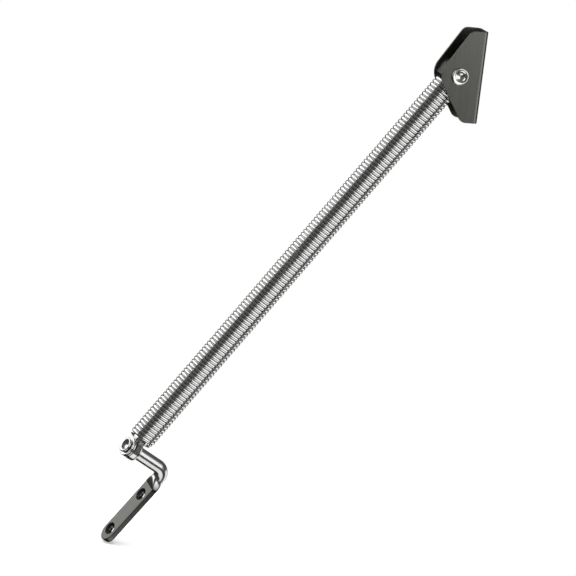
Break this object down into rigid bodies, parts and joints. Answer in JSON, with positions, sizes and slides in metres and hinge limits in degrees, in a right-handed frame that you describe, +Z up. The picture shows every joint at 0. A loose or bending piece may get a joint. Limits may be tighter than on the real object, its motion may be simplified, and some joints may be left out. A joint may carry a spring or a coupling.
{
  "type": "spring stay",
  "caption": "Close-wound coil spring stay with a riveted channel bracket at the top and a rod strap at the foot.",
  "frame": {"origin": "centre of the upper bracket's mounting face", "axes": "+X out of the upper mounting face, +Z up along the upper bracket, Y along the upper rivet"},
  "size_m": [0.1514, 0.0219, 0.2562],
  "materials": {
    "sheet_steel": "satin",
    "wire_steel": "polished",
    "polished_steel": "polished"
  },
  "bodies": {
    "bracket": {"upper_bracket": "sheet_steel", "upper_rivet": "polished_steel"},
    "spring_top": {"upper_eye_plug": "polished_steel", "coil_01": "wire_steel"},
    "spring_02": {"coil_02": "wire_steel"},
    "spring_03": {"coil_03": "wire_steel"},
    "spring_04": {"coil_04": "wire_steel"},
    "spring_05": {"coil_05": "wire_steel"},
    "spring_06": {"coil_06": "wire_steel"},
    "spring_07": {"coil_07": "wire_steel"},
    "spring_08": {"coil_08": "wire_steel"},
    "spring_09": {"coil_09": "wire_steel"},
    "spring_10": {"coil_10": "wire_steel"},
    "spring_11": {"coil_11": "wire_steel"},
    "spring_12": {"coil_12": "wire_steel"},
    "spring_foot": {"coil_13": "wire_steel", "lower_eye_plug": "polished_steel"},
    "strap": {"lower_bracket": "polished_steel", "inner_washer": "polished_steel", "wave_washer": "polished_steel", "outer_washer": "polished_steel"}
  },
  "joints": [
    {"name": "upper_pivot", "type": "hinge", "parent": "bracket", "child": "spring_top", "pos_m": [-0.0109, 0, 0], "axis": [0, 1, 0], "range_deg": [-35, 145]},
    {"name": "bend_01", "type": "hinge", "parent": "spring_top", "child": "spring_02", "pos_m": [-0.02889, 0, -0.0148], "axis": [0, 1, 0], "range_deg": [0, 13], "stiffness_Nm_per_rad": 0.3},
    {"name": "bend_02", "type": "hinge", "parent": "spring_02", "child": "spring_03", "pos_m": [-0.03838, 0, -0.02834], "axis": [0, 1, 0], "range_deg": [0, 13], "stiffness_Nm_per_rad": 0.3},
    {"name": "bend_03", "type": "hinge", "parent": "spring_03", "child": "spring_04", "pos_m": [-0.04786, 0, -0.04189], "axis": [0, 1, 0], "range_deg": [0, 13], "stiffness_Nm_per_rad": 0.3},
    {"name": "bend_04", "type": "hinge", "parent": "spring_04", "child": "spring_05", "pos_m": [-0.05735, 0, -0.05544], "axis": [0, 1, 0], "range_deg": [0, 13], "stiffness_Nm_per_rad": 0.3},
    {"name": "bend_05", "type": "hinge", "parent": "spring_05", "child": "spring_06", "pos_m": [-0.06683, 0, -0.06899], "axis": [0, 1, 0], "range_deg": [0, 13], "stiffness_Nm_per_rad": 0.3},
    {"name": "bend_06", "type": "hinge", "parent": "spring_06", "child": "spring_07", "pos_m": [-0.07632, 0, -0.08253], "axis": [0, 1, 0], "range_deg": [0, 13], "stiffness_Nm_per_rad": 0.3},
    {"name": "bend_07", "type": "hinge", "parent": "spring_07", "child": "spring_08", "pos_m": [-0.08581, 0, -0.09608], "axis": [0, 1, 0], "range_deg": [0, 13], "stiffness_Nm_per_rad": 0.3},
    {"name": "bend_08", "type": "hinge", "parent": "spring_08", "child": "spring_09", "pos_m": [-0.09529, 0, -0.10963], "axis": [0, 1, 0], "range_deg": [0, 13], "stiffness_Nm_per_rad": 0.3},
    {"name": "bend_09", "type": "hinge", "parent": "spring_09", "child": "spring_10", "pos_m": [-0.10478, 0, -0.12318], "axis": [0, 1, 0], "range_deg": [0, 13], "stiffness_Nm_per_rad": 0.3},
    {"name": "bend_10", "type": "hinge", "parent": "spring_10", "child": "spring_11", "pos_m": [-0.11427, 0, -0.13672], "axis": [0, 1, 0], "range_deg": [0, 13], "stiffness_Nm_per_rad": 0.3},
    {"name": "bend_11", "type": "hinge", "parent": "spring_11", "child": "spring_12", "pos_m": [-0.12375, 0, -0.15027], "axis": [0, 1, 0], "range_deg": [0, 13], "stiffness_Nm_per_rad": 0.3},
    {"name": "bend_12", "type": "hinge", "parent": "spring_12", "child": "spring_foot", "pos_m": [-0.13324, 0, -0.16382], "axis": [0, 1, 0], "range_deg": [0, 13], "stiffness_Nm_per_rad": 0.3},
    {"name": "lower_pivot", "type": "hinge", "parent": "spring_foot", "child": "strap", "pos_m": [-0.14156, 0, -0.1866], "axis": [-0.7834, -0.2924, 0.5485], "continuous": true}
  ],
  "couplings": [
    {"joint": "bend_02", "follows": "bend_01", "ratio": 1},
    {"joint": "bend_03", "follows": "bend_01", "ratio": 1},
    {"joint": "bend_04", "follows": "bend_01", "ratio": 1},
    {"joint": "bend_05", "follows": "bend_01", "ratio": 1},
    {"joint": "bend_06", "follows": "bend_01", "ratio": 1},
    {"joint": "bend_07", "follows": "bend_01", "ratio": 1},
    {"joint": "bend_08", "follows": "bend_01", "ratio": 1},
    {"joint": "bend_09", "follows": "bend_01", "ratio": 1},
    {"joint": "bend_10", "follows": "bend_01", "ratio": 1},
    {"joint": "bend_11", "follows": "bend_01", "ratio": 1},
    {"joint": "bend_12", "follows": "bend_01", "ratio": 1}
  ]
}
